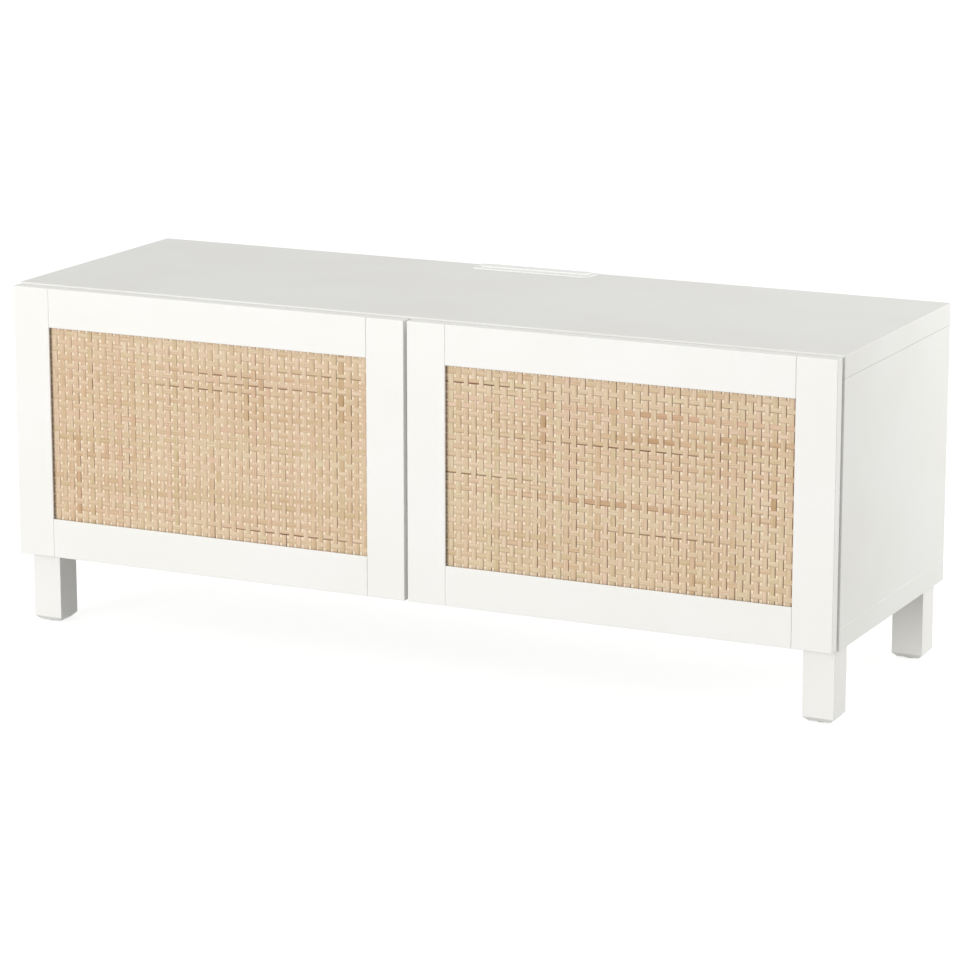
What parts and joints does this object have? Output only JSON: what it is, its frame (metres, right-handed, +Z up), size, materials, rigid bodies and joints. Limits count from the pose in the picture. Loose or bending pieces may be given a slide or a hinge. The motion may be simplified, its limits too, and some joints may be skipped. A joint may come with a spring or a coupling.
{
  "type": "tv stand",
  "caption": "Low cabinet on square legs that carries a television, with hinged push-to-open doors of woven strips in a frame, shelves inside and a cable outlet in the top.",
  "frame": {"origin": "on the floor, under the middle of the part's box, doors closed", "axes": "+X to the right as seen from the front, +Y from the doors to the back, +Z up"},
  "size_m": [1.2, 0.42, 0.4828],
  "materials": {
    "white_foil_board": "warm white matt foil on board",
    "white_lacquered_wood": "warm white satin lacquer",
    "woven_wood_strip": "pale woven wood strips, oiled",
    "backing_card": "cream faced hardboard, matt",
    "back_hardboard": "white printed hardboard, matt",
    "white_plastic": "moulded, satin",
    "grey_plastic": "moulded, matt",
    "nickel_steel": "nickel plated",
    "zinc_steel": "zinc plated",
    "spring_steel": "drawn wire",
    "beech_dowel": "raw turned wood"
  },
  "bodies": {
    "carcase": {"arm_screws": "zinc_steel", "bottom_panel": "white_foil_board", "cable_frame": "white_plastic", "cam_bolts": "zinc_steel", "cam_discs": "zinc_steel", "center_partition": "white_foil_board", "dowels": "beech_dowel", "foot_glides": "grey_plastic", "front_left_leg": "white_lacquered_wood", "front_right_leg": "white_lacquered_wood", "latch_screws": "zinc_steel", "left_back_panel": "back_hardboard", "left_hinge_plates": "nickel_steel", "left_latch_housing": "white_plastic", "left_latch_spring": "spring_steel", "left_lower_hinge_arm": "nickel_steel", "left_shelf": "white_foil_board", "left_side_panel": "white_foil_board", "left_upper_hinge_arm": "nickel_steel", "leg_bolts": "zinc_steel", "plate_screws": "zinc_steel", "rear_left_leg": "white_lacquered_wood", "rear_right_leg": "white_lacquered_wood", "right_back_panel": "back_hardboard", "right_hinge_plates": "nickel_steel", "right_latch_housing": "white_plastic", "right_latch_spring": "spring_steel", "right_lower_hinge_arm": "nickel_steel", "right_shelf": "white_foil_board", "right_side_panel": "white_foil_board", "right_upper_hinge_arm": "nickel_steel", "shelf_pins": "nickel_steel", "top_panel": "white_foil_board"},
    "left_door": {"left_backing_panel": "backing_card", "left_bottom_rail": "white_lacquered_wood", "left_cup_screws": "zinc_steel", "left_hinge_pins": "nickel_steel", "left_hinge_stile": "white_lacquered_wood", "left_latch_stile": "white_lacquered_wood", "left_lower_hinge_cup": "nickel_steel", "left_strike_plate": "nickel_steel", "left_top_rail": "white_lacquered_wood", "left_upper_hinge_cup": "nickel_steel", "left_woven_panel": "woven_wood_strip"},
    "right_door": {"right_backing_panel": "backing_card", "right_bottom_rail": "white_lacquered_wood", "right_cup_screws": "zinc_steel", "right_hinge_pins": "nickel_steel", "right_hinge_stile": "white_lacquered_wood", "right_latch_stile": "white_lacquered_wood", "right_lower_hinge_cup": "nickel_steel", "right_strike_plate": "nickel_steel", "right_top_rail": "white_lacquered_wood", "right_upper_hinge_cup": "nickel_steel", "right_woven_panel": "woven_wood_strip"},
    "cable_flap": {"cable_flap": "white_plastic"},
    "left_plunger": {"left_latch_plunger": "grey_plastic"},
    "right_plunger": {"right_latch_plunger": "grey_plastic"}
  },
  "joints": [
    {"name": "left_door_hinge", "type": "hinge", "parent": "carcase", "child": "left_door", "pos_m": [-0.591, -0.2025, 0.29], "axis": [0, 0, -1], "range_deg": [0, 95]},
    {"name": "right_door_hinge", "type": "hinge", "parent": "carcase", "child": "right_door", "pos_m": [0.591, -0.2025, 0.29], "axis": [0, 0, 1], "range_deg": [0, 95]},
    {"name": "cable_flap_hinge", "type": "hinge", "parent": "carcase", "child": "cable_flap", "pos_m": [0, 0.1877, 0.4792], "axis": [1, 0, 0], "range_deg": [0, 95]},
    {"name": "left_latch_slide", "type": "slide", "parent": "carcase", "child": "left_plunger", "axis": [0, 1, 0], "range_m": [0, 0.003], "stiffness_N_per_m": 400, "springref_m": -0.004, "deforming": ["left_latch_spring"]},
    {"name": "right_latch_slide", "type": "slide", "parent": "carcase", "child": "right_plunger", "axis": [0, 1, 0], "range_m": [0, 0.003], "stiffness_N_per_m": 400, "springref_m": -0.004, "deforming": ["right_latch_spring"]}
  ]
}
